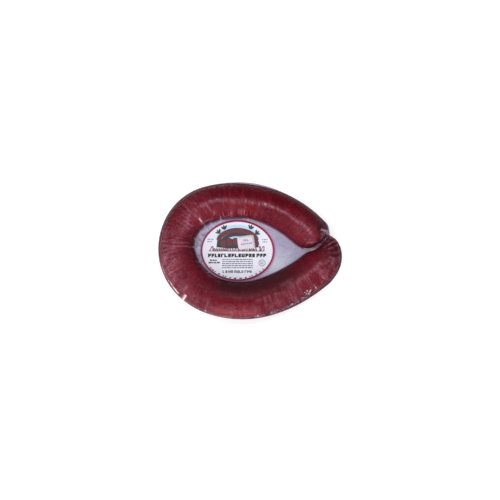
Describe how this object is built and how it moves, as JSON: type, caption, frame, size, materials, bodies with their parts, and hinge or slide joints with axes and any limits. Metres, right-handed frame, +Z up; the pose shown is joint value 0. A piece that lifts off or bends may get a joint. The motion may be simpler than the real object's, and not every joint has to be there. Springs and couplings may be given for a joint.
{
  "type": "ring bologna",
  "caption": "Smoked sausage bent into a ring and sealed in clear shrink film, with an oval label on the film across its hole.",
  "frame": {"origin": "on the surface it rests on, under the middle of its bounding box", "axes": "+X along the ring's length towards the side where its two ends meet, +Y across the ring towards the top of the label's print, +Z up"},
  "size_m": [0.217, 0.1644, 0.0432],
  "materials": {
    "bologna": "gloss",
    "film": "gloss",
    "label": "satin",
    "price_sticker": "matte"
  },
  "bodies": {
    "root": {"bologna": "bologna", "film": "film", "label": "label", "price_sticker": "price_sticker"}
  },
  "joints": []
}
